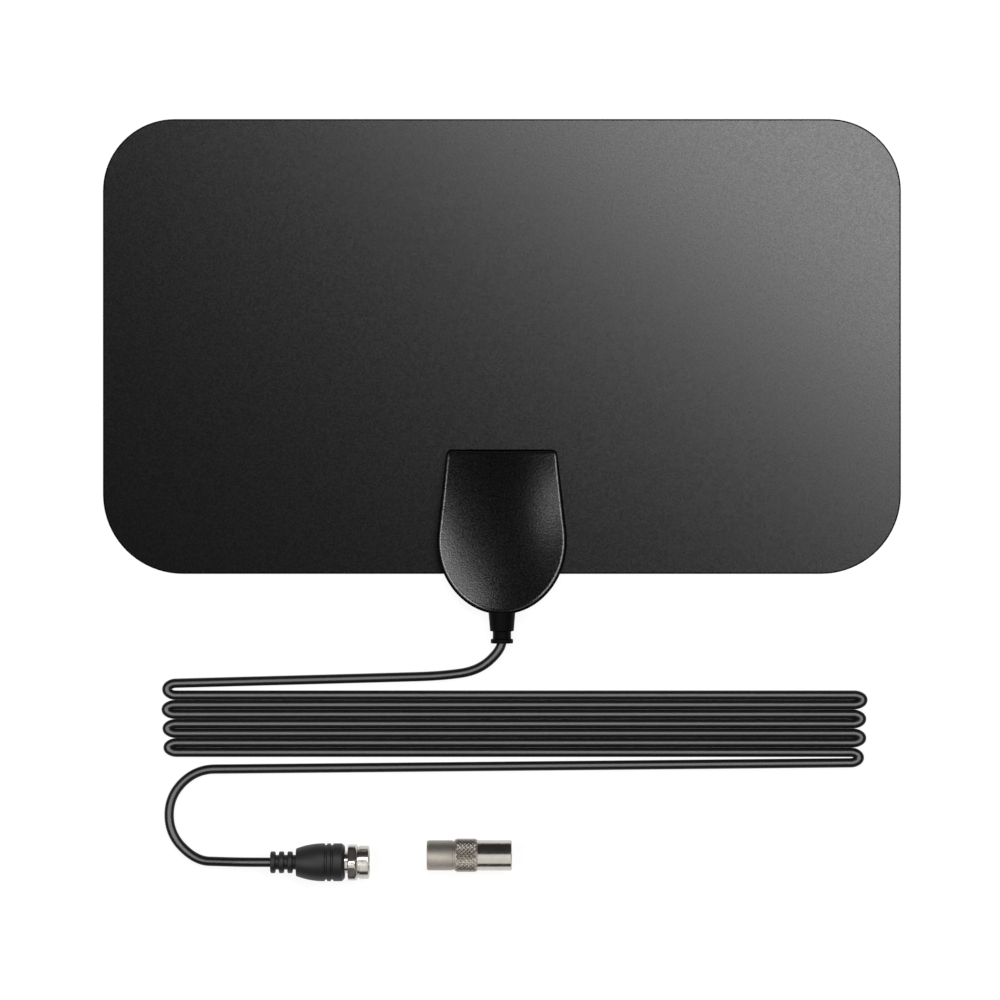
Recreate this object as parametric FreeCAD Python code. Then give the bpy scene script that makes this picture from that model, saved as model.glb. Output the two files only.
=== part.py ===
import FreeCAD, Part
import math
import os
from FreeCAD import Vector

# Flat indoor TV antenna: a laminated film panel, a two-part housing riveted over its lower edge,
# a thin coax laid to and fro, a moulded screw-on plug and the loose adapter that goes with it.
# Millimetres. The origin is the middle of the panel's back face, and the part lies on that face.
# +X is to the right and +Y is up when the front is looked at; +Z comes out of the front.

# Driving dimensions: the panel, two sheets of film laminated over a foil dipole
PANEL_WIDTH = 250.0
PANEL_HEIGHT = 142.5
PANEL_TOP_CORNER = 22.5
PANEL_BOTTOM_CORNER = 25.0
REAR_SHEET = 0.5
FRONT_SHEET = 0.4
FOIL = 0.1
FOIL_MARGIN = 10.0
FOIL_BAND = 18.0
FOIL_GAP = 6.0
FOIL_CLEARANCE = 0.2

# Driving dimensions: the housing, a shield-shaped cover on a stepped base
HOUSING_WIDTH = 40.7
HOUSING_FLARE = 3.1
HOUSING_KNEE = 30.0
HOUSING_OVER_PANEL = 39.0
HOUSING_OVERHANG = 12.7
HOUSING_WIDEST_ABOVE_EDGE = 10.3
HOUSING_CORNER = 2.0
COVER_CROWN = 11.0
COVER_CROWN_RADIUS_ALONG = 145.0
COVER_CROWN_RADIUS_ACROSS = 60.0
COVER_CROWN_ABOVE_END = 18.0
COVER_DRAFT = 1.2
COVER_WALL = 1.5
COVER_EDGE = 1.2
BASE_FLOOR = 1.0
BASE_EDGE = 0.3
PEG_DIAMETER = 2.4
PEG_LENGTH_IN_SOCKET = 1.8
PEG_FIT = 0.05
SOCKET_WALL = 1.0
SOCKET_HEIGHT = 2.4
PEG_FROM_SIDE = 8.0
PEG_FROM_TOP = 8.0
PEG_FROM_END = 13.0
FIT = 0.1

# Driving dimensions: the feed inside the housing
BOARD_WIDTH = 18.0
BOARD_LENGTH = 20.0
BOARD_THICKNESS = 1.0
EYELET_X = 6.5
EYELET_BORE = 1.6
EYELET_WALL = 0.4
EYELET_FLANGE_RIM = 1.0
EYELET_FLANGE_THICKNESS = 0.25
EYELET_HEAD_RIM = 0.8
EYELET_HEAD_THICKNESS = 0.4
BALUN_WIDTH = 7.0
BALUN_LENGTH = 6.0
BALUN_HEIGHT = 4.0
BALUN_EDGE = 0.8
BALUN_BORE = 1.7
BALUN_BORE_SPACING = 3.2
WINDING_WIRE = 0.5
WINDING_REACH = 2.0

# Driving dimensions: the strain relief boot at the housing
BOOT_ROOT = 8.4
BOOT_TAPER_END = 7.4
BOOT_COLLAR = 7.0
BOOT_LENGTH = 8.8
BOOT_GROOVE_CORE = 5.7
BOOT_GROOVE_LENGTH = 2.4
BOOT_COLLAR_LENGTH = 1.4
BOOT_NECK = 5.0
BOOT_FLANGE_WIDTH = 8.0
BOOT_FLANGE_THICKNESS = 1.4
BOOT_FLANGE_CORNER = 1.2
BOOT_MOUTH_FLARE = 1.2
BOOT_MOUTH_DEPTH = 5.2

# Driving dimensions: the coax
CABLE_DIAMETER = 2.9
CABLE_FIT = 0.05
CABLE_RUN_GAP = 0.08
CABLE_FOLD_RADIUS = 2.9
CABLE_PAST_FLANGE = 3.0
BRAID_DIAMETER = 2.0
BRAID_LENGTH = 3.0
PIGTAIL_DIAMETER = 0.8
PIGTAIL_OFFSET = 4.4
DIELECTRIC_DIAMETER = 1.5
DIELECTRIC_LENGTH = 3.5
CONDUCTOR_DIAMETER = 0.5
SOLDER_LENGTH = 1.8

# Driving dimensions: the screw-on plug
PLUG_X = -72.2
PLUG_Y = -161.1
RELIEF_LENGTH = 8.0
RELIEF_RIBS = 3
RELIEF_CORE = 4.6
RELIEF_RIB_HEIGHT = 1.1
RELIEF_RIB_WIDTH = 1.6
GRIP_LENGTH = 15.2
GRIP_DIAMETER = 11.8
GRIP_REAR_DIAMETER = 8.6
GRIP_SWELL_LENGTH = 9.0
GRIP_SWELL_BULGE = 0.45
GRIP_FRONT_EDGE = 0.9
GRIP_GROOVES = 2
GRIP_GROOVE_DEPTH = 0.5
GRIP_GROOVE_WIDTH = 0.7
GRIP_GROOVE_PITCH = 1.9
SLEEVE_DIAMETER = 6.9
SLEEVE_WALL = 1.0
SLEEVE_IN_GRIP = 9.0
SLEEVE_NECK = 1.0
SLEEVE_FLANGE_THICKNESS = 1.0
SLEEVE_FLANGE_CLEARANCE = 0.3
NUT_LENGTH = 6.6
NUT_BORE = 8.8
NUT_WALL_AT_FLATS = 1.1
NUT_CORNER_CUT = 0.35
NUT_HEX_LENGTH = 3.0
NUT_HEX_CHAMFER = 0.8
NUT_WAIST_LENGTH = 0.6
NUT_WAIST_WALL = 0.5
NUT_COLLAR_WALL = 0.8
NUT_EDGE = 0.3
NUT_LIP = 0.9
RUNNING_FIT = 0.08
PLUG_PIN_DIAMETER = 0.9
PLUG_PIN_ROOT = 1.7
PLUG_PIN_RECESS = 0.2

# Driving dimensions: the loose adapter, a threaded jack at one end and a push-in plug at the other
ADAPTER_X = -23.4
ADAPTER_Y = -159.0
JACK_LENGTH = 8.7
JACK_DIAMETER = 9.5
JACK_WALL = 1.65
JACK_CHAMFER = 0.6
BAND_LENGTH = 7.0
BAND_STEP = 0.5
BAND_CHAMFER = 0.3
SHELL_LENGTH = 10.8
SHELL_DIAMETER = 9.5
SHELL_WALL = 0.6
SHELL_DEPTH = 9.6
SHELL_EDGE = 0.25
SHELL_INSULATOR = 2.2
ADAPTER_PIN_DIAMETER = 2.4
ADAPTER_PIN_RECESS = 0.6
ADAPTER_PIN_TIP_BORE = 1.0
ADAPTER_PIN_TIP_DEPTH = 3.0
CONTACT_BORE = 1.1
CONTACT_WALL = 0.55
CONTACT_DEPTH = 5.0
CONTACT_RECESS = 1.2
JACK_HOLE = 1.6

# Levels and places worked out from the sizes above
PANEL_FRONT = REAR_SHEET + FRONT_SHEET
FOIL_TOP = REAR_SHEET + FOIL
PANEL_EDGE_Y = -PANEL_HEIGHT / 2
HOUSING_TOP_Y = PANEL_EDGE_Y + HOUSING_OVER_PANEL
HOUSING_END_Y = PANEL_EDGE_Y - HOUSING_OVERHANG
HOUSING_WIDEST_Y = PANEL_EDGE_Y + HOUSING_WIDEST_ABOVE_EDGE
CROWN_Y = HOUSING_END_Y + COVER_CROWN_ABOVE_END
PEG_X = HOUSING_WIDTH / 2 - PEG_FROM_SIDE
SOCKET_DIAMETER = PEG_DIAMETER + 2 * SOCKET_WALL
BASE_TOP = PANEL_FRONT + BASE_FLOOR
SOCKET_TOP = BASE_TOP + SOCKET_HEIGHT
BOARD_TOP = BASE_TOP + BOARD_THICKNESS
FEED_Y = PANEL_EDGE_Y + FOIL_MARGIN + FOIL_BAND / 2
BOARD_EDGE_Y = FEED_Y - BOARD_LENGTH / 2
EYELET_BARREL = EYELET_BORE + 2 * EYELET_WALL
EYELET_FLANGE = EYELET_BARREL + 2 * EYELET_FLANGE_RIM
EYELET_HOLE = EYELET_BARREL + 2 * FIT
BOOT_ROOT_Y = HOUSING_END_Y - FIT
BOOT_END_Y = BOOT_ROOT_Y - BOOT_LENGTH
CABLE_ON_FLOOR = CABLE_DIAMETER / 2
NUT_ACROSS_FLATS = NUT_BORE + 2 * NUT_WALL_AT_FLATS
NUT_CORNER_RADIUS = NUT_ACROSS_FLATS / math.sqrt(3) - NUT_CORNER_CUT
PLUG_AXIS_HEIGHT = max(NUT_CORNER_RADIUS, GRIP_DIAMETER / 2)
GRIP_START_X = PLUG_X + RELIEF_LENGTH
GRIP_END_X = GRIP_START_X + GRIP_LENGTH
SLEEVE_START_X = GRIP_END_X - SLEEVE_IN_GRIP
SLEEVE_BORE = SLEEVE_DIAMETER - 2 * SLEEVE_WALL
NUT_START_X = GRIP_END_X + SLEEVE_NECK
NUT_END_X = NUT_START_X + NUT_LENGTH
FLANGE_START_X = NUT_START_X + NUT_LIP + RUNNING_FIT
FLANGE_END_X = FLANGE_START_X + SLEEVE_FLANGE_THICKNESS
BAND_DIAMETER = max(JACK_DIAMETER, SHELL_DIAMETER) + 2 * BAND_STEP
BAND_START_X = ADAPTER_X + JACK_LENGTH
SHELL_START_X = BAND_START_X + BAND_LENGTH
ADAPTER_END_X = SHELL_START_X + SHELL_LENGTH
SHELL_FLOOR_X = ADAPTER_END_X - SHELL_DEPTH
SHELL_BORE = SHELL_DIAMETER - 2 * SHELL_WALL
JACK_BORE = JACK_DIAMETER - 2 * JACK_WALL
CONTACT_X = ADAPTER_X + CONTACT_RECESS
CONTACT_DIAMETER = CONTACT_BORE + 2 * CONTACT_WALL

UP = Vector(0, 0, 1)
ALONG_X = Vector(1, 0, 0)
ALONG_Y = Vector(0, 1, 0)
PLUG_AXIS = Vector(0, PLUG_Y, PLUG_AXIS_HEIGHT)
ADAPTER_AXIS = Vector(0, ADAPTER_Y, BAND_DIAMETER / 2)


# Shape helpers
def line(start, end):
    return Part.LineSegment(start, end).toShape()


def arc(start, middle, end):
    return Part.Arc(start, middle, end).toShape()


def slab(face, bottom, top):
    """A flat face in the XY plane, made a plate between two levels."""
    plate = face.extrude(UP * (top - bottom))
    plate.translate(UP * bottom)
    return plate


def block(x0, x1, y0, y1, z0, z1):
    return Part.makeBox(x1 - x0, y1 - y0, z1 - z0, Vector(x0, y0, z0))


def post(x, y, diameter, bottom, top):
    return Part.makeCylinder(diameter / 2, top - bottom, Vector(x, y, bottom), UP)


def rod_y(diameter, y0, y1, height, x=0):
    return Part.makeCylinder(diameter / 2, y1 - y0, Vector(x, y0, height), ALONG_Y)


def turned(profile, origin, axis, across):
    """A solid of revolution. The profile is (distance along the axis, radius) points, in order."""
    points = [origin + axis * along + across * radius for along, radius in profile]
    return Part.Face(Part.makePolygon(points + points[:1])).revolve(origin, axis, 360)


def union(first, *others):
    return first.multiFuse(list(others)).removeSplitter()


def rounded_path(points):
    """Straight runs joined by tangent arcs: a corner's arc takes 0.45 of its shorter run."""
    share = 0.45
    edges, radii = [], []
    here = points[0]
    for before, corner, after in zip(points, points[1:], points[2:]):
        back, ahead = before - corner, after - corner
        half_turn = (math.pi - back.getAngle(ahead)) / 2
        tangent = share * min(back.Length, ahead.Length)
        radius = tangent / math.tan(half_turn)
        back.normalize()
        ahead.normalize()
        begin, end = corner + back * tangent, corner + ahead * tangent
        middle = corner + (back + ahead).normalize() * (radius / math.cos(half_turn) - radius)
        edges += [line(here, begin), arc(begin, middle, end)]
        radii.append(radius)
        here = end
    edges.append(line(here, points[-1]))
    return Part.Wire(edges), radii


def swept_rod(points, diameter):
    path = rounded_path(points)[0]
    ring = Part.Wire(Part.makeCircle(diameter / 2, points[0], points[1] - points[0]))
    return path.makePipeShell([ring], True, False)


# Panel
def panel_face(inset):
    """The panel's outline drawn in by a margin, with larger corners below than above."""
    half_width = PANEL_WIDTH / 2 - inset
    half_height = PANEL_HEIGHT / 2 - inset
    corners = [(1, 1, PANEL_TOP_CORNER), (-1, 1, PANEL_TOP_CORNER),
               (-1, -1, PANEL_BOTTOM_CORNER), (1, -1, PANEL_BOTTOM_CORNER)]
    arcs = []
    for quarter, (side, rise, corner) in enumerate(corners):
        radius = max(corner - inset, FIT)
        centre = Vector(side * (half_width - radius), rise * (half_height - radius), 0)
        angles = [math.radians(90 * quarter + turn) for turn in (0, 45, 90)]
        arcs.append([centre + Vector(math.cos(a), math.sin(a), 0) * radius for a in angles])
    edges = []
    for here, following in zip(arcs, arcs[1:] + arcs[:1]):
        edges += [arc(*here), line(here[-1], following[0])]
    return Part.Face(Part.Wire(edges))


def foil_half(side, grow):
    """Half of a band that follows the panel's edge, open at the middle, with room round it if asked."""
    band = slab(panel_face(FOIL_MARGIN - grow), REAR_SHEET, FOIL_TOP)
    band = band.cut(slab(panel_face(FOIL_MARGIN + FOIL_BAND + grow), REAR_SHEET, FOIL_TOP))
    low, high = sorted((side * (FOIL_GAP / 2 - grow), side * PANEL_WIDTH / 2))
    return band.common(block(low, high, -PANEL_HEIGHT / 2, PANEL_HEIGHT / 2, REAR_SHEET, FOIL_TOP))


def eyelet_hole(side, bottom, top):
    return post(side * EYELET_X, FEED_Y, EYELET_HOLE, bottom, top)


def foil(side):
    return foil_half(side, 0).cut(eyelet_hole(side, REAR_SHEET, FOIL_TOP))


def rear_sheet():
    floor = REAR_SHEET - EYELET_FLANGE_THICKNESS - FIT / 2
    pockets = [post(side * EYELET_X, FEED_Y, EYELET_FLANGE + 2 * FIT, floor, REAR_SHEET) for side in (-1, 1)]
    return slab(panel_face(0), 0, REAR_SHEET).cut(pockets)


def front_sheet():
    sheet = slab(panel_face(0), REAR_SHEET, PANEL_FRONT)
    for side in (-1, 1):
        sheet = sheet.cut([foil_half(side, FOIL_CLEARANCE), eyelet_hole(side, REAR_SHEET, PANEL_FRONT)])
    return sheet


# Housing
def shield_wire(inset, level):
    """The outline: a straight top, flared sides that end in a knee, and half an ellipse round the end."""
    top = HOUSING_TOP_Y - inset
    half_width = HOUSING_WIDTH / 2 - inset
    depth = HOUSING_WIDEST_Y - HOUSING_END_Y - inset
    rise = top - HOUSING_WIDEST_Y
    radius = HOUSING_KNEE - inset
    slack = math.sqrt(rise ** 2 - HOUSING_FLARE * (2 * radius - HOUSING_FLARE))
    half_turn = math.atan(HOUSING_FLARE / (rise + slack))
    knee = [(half_width - radius * (1 - math.cos(turn)), HOUSING_WIDEST_Y + radius * math.sin(turn))
            for turn in (0, half_turn, 2 * half_turn)]
    left, left_knee, left_side = (Vector(-x, y, level) for x, y in knee)
    right, right_knee, right_side = (Vector(x, y, level) for x, y in knee)
    left_top, right_top = (Vector(side * (half_width - HOUSING_FLARE), top, level) for side in (-1, 1))
    end = Part.makeCircle(1, Vector(0, 0, 0), UP, 180, 360)
    stretch = FreeCAD.Matrix()
    stretch.scale(half_width, depth, 1)
    end = end.transformGeometry(stretch)
    end.translate(Vector(0, HOUSING_WIDEST_Y, level))
    return Part.Wire([line(left_top, right_top), line(right_top, right_side),
                      arc(right_side, right_knee, right), end,
                      arc(left, left_knee, left_side), line(left_side, left_top)])


def drafted_shield(inset, bottom, top):
    """The outline raised between two levels, leaning in as the mould draft has it."""
    lean = COVER_DRAFT / (COVER_CROWN - PANEL_FRONT)
    wires = [shield_wire(inset + lean * (level - PANEL_FRONT), level) for level in (bottom, top)]
    return Part.makeLoft(wires, True, True)


def crown_height(x, y, drop):
    """The level of the cover's doubly curved face, or of its inside, at a place."""
    sag = COVER_CROWN_RADIUS_ALONG - math.sqrt(COVER_CROWN_RADIUS_ALONG ** 2 - (y - CROWN_Y) ** 2)
    across = COVER_CROWN_RADIUS_ACROSS - math.sqrt(COVER_CROWN_RADIUS_ACROSS ** 2 - x ** 2)
    return COVER_CROWN - drop - sag - across


def crown_body(drop):
    """All that lies under the crown: its lengthwise arc turned about an axis far below."""
    reach = max(HOUSING_TOP_Y - CROWN_Y, CROWN_Y - HOUSING_END_Y) + COVER_WALL
    lower, peak, upper = (Vector(0, y, crown_height(0, y, drop))
                          for y in (CROWN_Y - reach, CROWN_Y, CROWN_Y + reach))
    axis_level = COVER_CROWN - drop - COVER_CROWN_RADIUS_ACROSS
    foot_lower, foot_upper = (Vector(0, end.y, axis_level) for end in (lower, upper))
    section = Part.Wire([arc(lower, peak, upper), line(upper, foot_upper), line(foot_upper, foot_lower),
                         line(foot_lower, lower)])
    return Part.Face(section).revolve(foot_lower, ALONG_Y, 360)


def cover_body():
    """The cover filled in: drafted walls under the crown, with the corners and the crown's edge rounded."""
    walls = drafted_shield(0, PANEL_FRONT, COVER_CROWN)
    top_wall = max(walls.Faces, key=lambda face: face.CenterOfMass.y)
    corners = [edge for edge in top_wall.Edges if edge.BoundBox.ZLength > COVER_CROWN / 2]
    body = walls.makeFillet(HOUSING_CORNER, corners).common(crown_body(0))
    crown = max(body.Faces, key=lambda face: face.CenterOfMass.z)
    return body.makeFillet(COVER_EDGE, crown.Edges)


def peg_places():
    return [(side * PEG_X, y) for side in (-1, 1)
            for y in (HOUSING_TOP_Y - PEG_FROM_TOP, HOUSING_END_Y + PEG_FROM_END)]


def end_wall_y(x, inset):
    """How far towards the cable end the cover's wall reaches, or its inside, just under the crown."""
    half_width = HOUSING_WIDTH / 2 - inset - COVER_DRAFT
    depth = HOUSING_WIDEST_Y - HOUSING_END_Y - inset - COVER_DRAFT
    return HOUSING_WIDEST_Y - depth * math.sqrt(1 - (x / half_width) ** 2)


# The boot's flange lies behind the end wall and fills the housing from its floor to its ceiling,
# which sets the cable's level there
BOOT_FLANGE_Y = end_wall_y(BOOT_FLANGE_WIDTH / 2, COVER_WALL) + FIT
JACKET_END_Y = BOOT_FLANGE_Y + BOOT_FLANGE_THICKNESS + CABLE_PAST_FLANGE
BRAID_END_Y = JACKET_END_Y + BRAID_LENGTH
DIELECTRIC_END_Y = BRAID_END_Y + DIELECTRIC_LENGTH
BOOT_CEILING = crown_height(BOOT_FLANGE_WIDTH / 2, BOOT_FLANGE_Y, COVER_WALL)
BOOT_AXIS_HEIGHT = (BASE_TOP + BOOT_CEILING) / 2
BOOT_FLANGE_HEIGHT = BOOT_CEILING - BASE_TOP - 2 * FIT


def front_cover():
    body = cover_body()
    hollow = drafted_shield(COVER_WALL, PANEL_FRONT, COVER_CROWN).common(crown_body(COVER_WALL))
    half = BOOT_NECK / 2 + FIT
    slot = block(-half, half, BOOT_ROOT_Y, BOOT_FLANGE_Y, PANEL_FRONT, BOOT_AXIS_HEIGHT)
    slot_end = rod_y(2 * half, BOOT_ROOT_Y, BOOT_FLANGE_Y, BOOT_AXIS_HEIGHT)
    shell = body.cut([hollow, slot, slot_end])
    pegs = []
    for x, y in peg_places():
        pegs.append(post(x, y, PEG_DIAMETER, SOCKET_TOP - PEG_LENGTH_IN_SOCKET, COVER_CROWN).common(body))
        pegs.append(post(x, y, SOCKET_DIAMETER, SOCKET_TOP + FIT, COVER_CROWN).common(body))
    return union(shell, *pegs)


def rear_cover():
    """The base: flush with the panel's back beyond its edge, and a floor on the panel's front above it."""
    step = slab(Part.Face(shield_wire(0, 0)), 0, PANEL_FRONT)
    step = step.makeChamfer(BASE_EDGE, [edge for edge in step.Edges if edge.BoundBox.ZMax < BASE_EDGE])
    half = HOUSING_WIDTH / 2
    step = step.cut(block(-half, half, PANEL_EDGE_Y - FIT, HOUSING_TOP_Y, 0, PANEL_FRONT))
    floor = drafted_shield(COVER_WALL + FIT, PANEL_FRONT, BASE_TOP)
    half = BOOT_NECK / 2
    saddle = block(-half, half, HOUSING_END_Y, BOOT_FLANGE_Y - FIT, PANEL_FRONT, BOOT_AXIS_HEIGHT)
    saddle = saddle.common(drafted_shield(0, PANEL_FRONT, COVER_CROWN))
    saddle = saddle.cut(rod_y(BOOT_NECK + 2 * FIT, HOUSING_END_Y, BOOT_FLANGE_Y, BOOT_AXIS_HEIGHT))
    sockets = [post(x, y, SOCKET_DIAMETER, PANEL_FRONT, SOCKET_TOP) for x, y in peg_places()]
    bores = [post(x, y, PEG_DIAMETER + 2 * PEG_FIT, BASE_TOP, SOCKET_TOP) for x, y in peg_places()]
    holes = [eyelet_hole(side, PANEL_FRONT, BASE_TOP) for side in (-1, 1)]
    return union(step, floor, saddle, *sockets).cut(bores + holes)


# Feed
def feed_board():
    half = BOARD_WIDTH / 2
    board = block(-half, half, BOARD_EDGE_Y, BOARD_EDGE_Y + BOARD_LENGTH, BASE_TOP, BOARD_TOP)
    return board.cut([eyelet_hole(side, BASE_TOP, BOARD_TOP) for side in (-1, 1)])


def contact_eyelets():
    """Two tubular rivets: each one's flange lies under the foil and its rolled head holds the board down."""
    foot = REAR_SHEET - EYELET_FLANGE_THICKNESS
    head = BOARD_TOP + EYELET_HEAD_THICKNESS
    bore, barrel, flange = EYELET_BORE / 2, EYELET_BARREL / 2, EYELET_FLANGE / 2
    profile = [(foot, bore), (foot, flange), (REAR_SHEET, flange), (REAR_SHEET, barrel),
               (BOARD_TOP, barrel), (BOARD_TOP, barrel + EYELET_HEAD_RIM), (head, barrel), (head, bore)]
    centres = [Vector(side * EYELET_X, FEED_Y, 0) for side in (-1, 1)]
    return Part.Compound([turned(profile, centre, UP, ALONG_X) for centre in centres])


def balun_core():
    """A two-hole ferrite core standing on the board."""
    y0, y1 = FEED_Y - BALUN_LENGTH / 2, FEED_Y + BALUN_LENGTH / 2
    half = BALUN_WIDTH / 2
    core = block(-half, half, y0, y1, BOARD_TOP, BOARD_TOP + BALUN_HEIGHT)
    long_edges = [edge for edge in core.Edges if edge.BoundBox.YLength > BALUN_LENGTH / 2]
    core = core.makeFillet(BALUN_EDGE, long_edges)
    middle = BOARD_TOP + BALUN_HEIGHT / 2
    return core.cut([rod_y(BALUN_BORE, y0, y1, middle, side * BALUN_BORE_SPACING / 2) for side in (-1, 1)])


def balun_winding():
    """One wire through both bores of the core, its ends turned down to the board."""
    x = BALUN_BORE_SPACING / 2
    height = BOARD_TOP + BALUN_HEIGHT / 2
    near, far = FEED_Y - BALUN_LENGTH / 2 - WINDING_REACH, FEED_Y + BALUN_LENGTH / 2 + WINDING_REACH
    route = [Vector(-x, near, BOARD_TOP), Vector(-x, near, height), Vector(-x, far, height),
             Vector(x, far, height), Vector(x, near, height), Vector(x, near, BOARD_TOP)]
    return swept_rod(route, WINDING_WIRE)


# Strain relief boot
def strain_relief():
    """Rubber sleeve: a flange inside the housing, a neck in its wall and a grooved taper seated on it."""
    bore = CABLE_DIAMETER / 2 + CABLE_FIT
    core, collar = BOOT_GROOVE_CORE / 2, BOOT_COLLAR / 2
    groove_start = BOOT_END_Y + BOOT_COLLAR_LENGTH
    groove_end = groove_start + BOOT_GROOVE_LENGTH
    seat = HOUSING_END_Y + COVER_DRAFT
    profile = [
        (BOOT_END_Y, bore + BOOT_MOUTH_FLARE), (BOOT_END_Y, collar), (groove_start, collar),
        (groove_start, core), (groove_end, core), (groove_end, BOOT_TAPER_END / 2),
        (BOOT_ROOT_Y, BOOT_ROOT / 2), (seat, BOOT_ROOT / 2), (seat, bore), (BOOT_END_Y + BOOT_MOUTH_DEPTH, bore),
    ]
    sleeve = turned(profile, UP * BOOT_AXIS_HEIGHT, ALONG_Y, ALONG_X)
    sleeve = sleeve.cut(drafted_shield(-FIT, PANEL_FRONT, COVER_CROWN))
    flange_end = BOOT_FLANGE_Y + BOOT_FLANGE_THICKNESS
    neck = rod_y(BOOT_NECK, BOOT_ROOT_Y, flange_end, BOOT_AXIS_HEIGHT)
    half = BOOT_FLANGE_WIDTH / 2
    bottom = BOOT_AXIS_HEIGHT - BOOT_FLANGE_HEIGHT / 2
    flange = block(-half, half, BOOT_FLANGE_Y, flange_end, bottom, bottom + BOOT_FLANGE_HEIGHT)
    corners = [edge for edge in flange.Edges if edge.BoundBox.YLength > BOOT_FLANGE_THICKNESS / 2]
    flange = flange.makeFillet(BOOT_FLANGE_CORNER, corners)
    inside = union(neck, flange).cut(rod_y(2 * bore, BOOT_ROOT_Y, flange_end, BOOT_AXIS_HEIGHT))
    return union(sleeve, inside)


# Coax: corner points of its route, chosen by hand. The straight runs lie side by side on the floor,
# and at each end the cable turns back in a loop that stands up on edge.
LEAD_POINTS = [(-7.6, -101.0, 4.4), (-18.6, -102.6, 2.5), (-32.0, -103.3, CABLE_ON_FLOOR)]
LEAD_END_Y = -105.6
FIRST_RUN_Y = -109.2
RUNS = 7
LAST_RUN_STEP = 3.3
LEFT_TIPS = [-104.9, -105.1, -104.8, -104.5]
RIGHT_TIPS = [113.0, 112.6, 112.6, 111.9]
FOLD_SETTLES_IN = 55.0
TAIL_POINTS = [(-95.4, -132.4, CABLE_ON_FLOOR), (-104.4, -141.0, CABLE_ON_FLOOR),
               (-104.4, -152.6, CABLE_ON_FLOOR), (-96.0, -160.9, CABLE_ON_FLOOR), (-87.6, -161.1, 2.2)]


def fold_points(tip_x, outward, low_y, high_y):
    """Half a turn of the cable, rolled up on edge until its two ends lie one run apart from above."""
    radius = CABLE_FOLD_RADIUS
    lean = math.acos(min(1, abs(high_y - low_y) / (2 * radius)))
    across = Vector(0, math.copysign(math.cos(lean), high_y - low_y), math.sin(lean))
    out = ALONG_X * outward
    centre = Vector(tip_x, low_y, CABLE_ON_FLOOR) - out * radius + across * radius
    eighth = math.pi / 8
    reach = radius / math.cos(eighth)
    return [centre + (out * math.sin(step * eighth) - across * math.cos(step * eighth)) * reach
            for step in (1, 3, 5, 7)]


def cable_route():
    """From the housing to the plug: the lead, the runs to and fro, the loop and the tail."""
    route = [Vector(0, JACKET_END_Y, BOOT_AXIS_HEIGHT), Vector(0, BOOT_END_Y, BOOT_AXIS_HEIGHT)]
    route += [Vector(*point) for point in LEAD_POINTS]
    pitch = CABLE_DIAMETER + CABLE_RUN_GAP
    levels = [LEAD_END_Y] + [FIRST_RUN_Y - pitch * run for run in range(RUNS)]
    levels.append(levels[-1] - LAST_RUN_STEP)
    for fold in range(RUNS + 1):
        outward = 1 if fold % 2 else -1
        tips = RIGHT_TIPS if fold % 2 else LEFT_TIPS
        turn = fold_points(tips[fold // 2], outward, levels[fold], levels[fold + 1])
        settled = Vector(turn[-1].x - outward * FOLD_SETTLES_IN, turn[-1].y, CABLE_ON_FLOOR)
        route += turn + [settled]
    route += [Vector(*point) for point in TAIL_POINTS]
    end = PLUG_AXIS + ALONG_X * PLUG_X
    return route + [end - ALONG_X * RELIEF_LENGTH, end]


def coax_cable():
    tube = swept_rod(cable_route(), CABLE_DIAMETER)
    path, radii = rounded_path(cable_route())
    section = math.pi * CABLE_DIAMETER ** 2 / 4
    print(f"cable: {path.Length:.1f} mm, volume {tube.Volume:.1f} against {section * path.Length:.1f} mm3")
    print("bend radii:", " ".join(f"{radius:.1f}" for radius in radii))
    return tube


def coax_braid():
    """The braid behind the stripped jacket, twisted into a tail that reaches the board."""
    stub = rod_y(BRAID_DIAMETER, JACKET_END_Y, BRAID_END_Y, BOOT_AXIS_HEIGHT)
    on_board = BOARD_TOP + PIGTAIL_DIAMETER / 2
    route = [Vector(0, JACKET_END_Y + BRAID_LENGTH / 2, BOOT_AXIS_HEIGHT),
             Vector(PIGTAIL_OFFSET, BRAID_END_Y + BRAID_LENGTH / 2, BOOT_AXIS_HEIGHT),
             Vector(PIGTAIL_OFFSET, BOARD_EDGE_Y, on_board),
             Vector(PIGTAIL_OFFSET, BOARD_EDGE_Y + SOLDER_LENGTH, on_board)]
    return union(stub, swept_rod(route, PIGTAIL_DIAMETER))


def coax_dielectric():
    return rod_y(DIELECTRIC_DIAMETER, BRAID_END_Y, DIELECTRIC_END_Y, BOOT_AXIS_HEIGHT)


def coax_conductor():
    on_board = BOARD_TOP + CONDUCTOR_DIAMETER / 2
    middle = (DIELECTRIC_END_Y + BOARD_EDGE_Y) / 2
    route = [Vector(0, DIELECTRIC_END_Y, BOOT_AXIS_HEIGHT), Vector(0, middle, BOOT_AXIS_HEIGHT),
             Vector(0, BOARD_EDGE_Y, on_board), Vector(0, BOARD_EDGE_Y + SOLDER_LENGTH, on_board)]
    return swept_rod(route, CONDUCTOR_DIAMETER)


# Screw-on plug
def on_plug(along, radius):
    return PLUG_AXIS + ALONG_X * along + UP * radius


def plug_relief():
    """The ribbed tail of the grip, which keeps the cable from kinking."""
    core = RELIEF_CORE / 2
    rib = core + RELIEF_RIB_HEIGHT
    pitch = RELIEF_LENGTH / RELIEF_RIBS
    profile = [(PLUG_X, 0)]
    for number in range(RELIEF_RIBS):
        start = PLUG_X + number * pitch
        end = start + RELIEF_RIB_WIDTH
        profile += [(start, core), (start, rib), (end, rib), (end, core)]
    return turned(profile + [(GRIP_START_X, core), (GRIP_START_X, 0)], PLUG_AXIS, ALONG_X, UP)


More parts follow.
